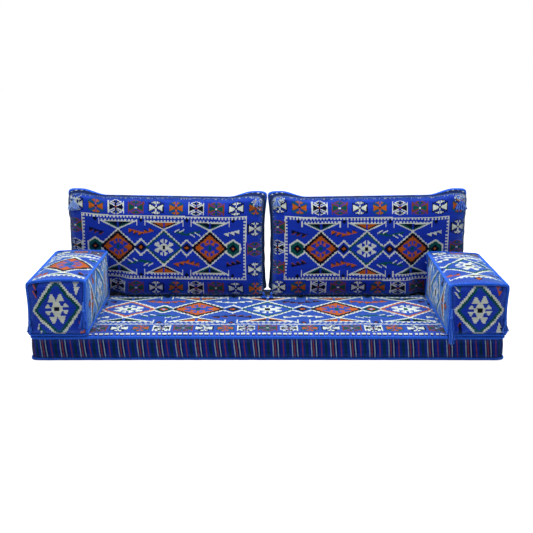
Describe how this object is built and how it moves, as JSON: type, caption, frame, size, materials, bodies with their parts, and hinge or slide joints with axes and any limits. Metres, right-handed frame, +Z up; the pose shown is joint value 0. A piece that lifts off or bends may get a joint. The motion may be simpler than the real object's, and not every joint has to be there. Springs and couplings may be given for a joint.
{
  "type": "floor sofa",
  "caption": "Low floor sofa: a thin seat mattress with loose standing back cushions and box arm cushions in patterned flat weave, with piping, zips and tassels.",
  "frame": {"origin": "on the floor under the middle of the seat mattress", "axes": "+X along the sofa to the right as seen from the front, +Y from the front towards the back cushions, +Z up"},
  "size_m": [1.929, 0.7265, 0.5877],
  "materials": {
    "kilim": "matte",
    "striped_border": "matte",
    "dotted_border": "matte",
    "plain_backing": "matte",
    "piping": "matte",
    "tassel_yarn": "matte",
    "filling": "matte",
    "zip_tape": "matte",
    "zip_metal": "satin"
  },
  "bodies": {
    "seat": {"seat_base_panel": "plain_backing", "seat_boxing": "striped_border", "seat_core": "filling", "seat_piping_bottom": "piping", "seat_piping_top": "piping", "seat_top_panel": "kilim", "seat_zip": "zip_tape"},
    "seat_slider": {"seat_zip_slider": "zip_metal"},
    "seat_pull": {"seat_zip_pull": "zip_metal"},
    "right_back": {"right_back_boxing": "dotted_border", "right_back_core": "filling", "right_back_front_panel": "kilim", "right_back_piping": "piping", "right_back_rear_panel": "plain_backing", "right_back_tassels": "tassel_yarn", "right_back_zip": "zip_tape"},
    "right_back_slider": {"right_back_zip_slider": "zip_metal"},
    "right_back_pull": {"right_back_zip_pull": "zip_metal"},
    "left_back": {"left_back_boxing": "dotted_border", "left_back_core": "filling", "left_back_front_panel": "kilim", "left_back_piping": "piping", "left_back_rear_panel": "plain_backing", "left_back_tassels": "tassel_yarn", "left_back_zip": "zip_tape"},
    "left_back_slider": {"left_back_zip_slider": "zip_metal"},
    "left_back_pull": {"left_back_zip_pull": "zip_metal"},
    "right_arm": {"right_arm_bottom_panel": "plain_backing", "right_arm_core": "filling", "right_arm_edge_piping": "piping", "right_arm_end_piping": "piping", "right_arm_front_panel": "kilim", "right_arm_inner_side_panel": "kilim", "right_arm_outer_side_panel": "kilim", "right_arm_rear_panel": "kilim", "right_arm_tassels": "tassel_yarn", "right_arm_top_panel": "kilim", "right_arm_zip": "zip_tape"},
    "right_arm_slider": {"right_arm_zip_slider": "zip_metal"},
    "right_arm_pull": {"right_arm_zip_pull": "zip_metal"},
    "left_arm": {"left_arm_bottom_panel": "plain_backing", "left_arm_core": "filling", "left_arm_edge_piping": "piping", "left_arm_end_piping": "piping", "left_arm_front_panel": "kilim", "left_arm_inner_side_panel": "kilim", "left_arm_outer_side_panel": "kilim", "left_arm_rear_panel": "kilim", "left_arm_tassels": "tassel_yarn", "left_arm_top_panel": "kilim", "left_arm_zip": "zip_tape"},
    "left_arm_slider": {"left_arm_zip_slider": "zip_metal"},
    "left_arm_pull": {"left_arm_zip_pull": "zip_metal"}
  },
  "joints": [
    {"name": "right_back_lift", "type": "slide", "parent": "seat", "child": "right_back", "axis": [0, 0, 1], "range_m": [0, 0.5]},
    {"name": "left_back_lift", "type": "slide", "parent": "seat", "child": "left_back", "axis": [0, 0, 1], "range_m": [0, 0.5]},
    {"name": "right_arm_lift", "type": "slide", "parent": "seat", "child": "right_arm", "axis": [0, 0, 1], "range_m": [0, 0.5]},
    {"name": "left_arm_lift", "type": "slide", "parent": "seat", "child": "left_arm", "axis": [0, 0, 1], "range_m": [0, 0.5]},
    {"name": "seat_zip_run", "type": "slide", "parent": "seat", "child": "seat_slider", "axis": [1, 0, 0], "range_m": [0, 1.4742]},
    {"name": "seat_pull_swing", "type": "hinge", "parent": "seat_slider", "child": "seat_pull", "pos_m": [-0.7371, 0.3522, 0.0505], "axis": [0, 0, 1], "range_deg": [0, 180]},
    {"name": "right_back_zip_run", "type": "slide", "parent": "right_back", "child": "right_back_slider", "axis": [1, 0, 0], "range_m": [0, 0.5942]},
    {"name": "right_back_pull_swing", "type": "hinge", "parent": "right_back_slider", "child": "right_back_pull", "pos_m": [0.1556, 0.3589, 0.192], "axis": [0, 0, 1], "range_deg": [0, 180]},
    {"name": "left_back_zip_run", "type": "slide", "parent": "left_back", "child": "left_back_slider", "axis": [-1, 0, 0], "range_m": [0, 0.5942]},
    {"name": "left_back_pull_swing", "type": "hinge", "parent": "left_back_slider", "child": "left_back_pull", "pos_m": [-0.1556, 0.3589, 0.192], "axis": [0, 0, -1], "range_deg": [0, 180]},
    {"name": "right_arm_zip_run", "type": "slide", "parent": "right_arm", "child": "right_arm_slider", "axis": [0, -1, 0], "range_m": [0, 0.3542]},
    {"name": "right_arm_pull_swing", "type": "hinge", "parent": "right_arm_slider", "child": "right_arm_pull", "pos_m": [0.9552, 0.1137, 0.152], "axis": [0, 0, 1], "range_deg": [0, 180]},
    {"name": "left_arm_zip_run", "type": "slide", "parent": "left_arm", "child": "left_arm_slider", "axis": [0, -1, 0], "range_m": [0, 0.3542]},
    {"name": "left_arm_pull_swing", "type": "hinge", "parent": "left_arm_slider", "child": "left_arm_pull", "pos_m": [-0.9552, 0.1137, 0.152], "axis": [0, 0, -1], "range_deg": [0, 180]}
  ]
}
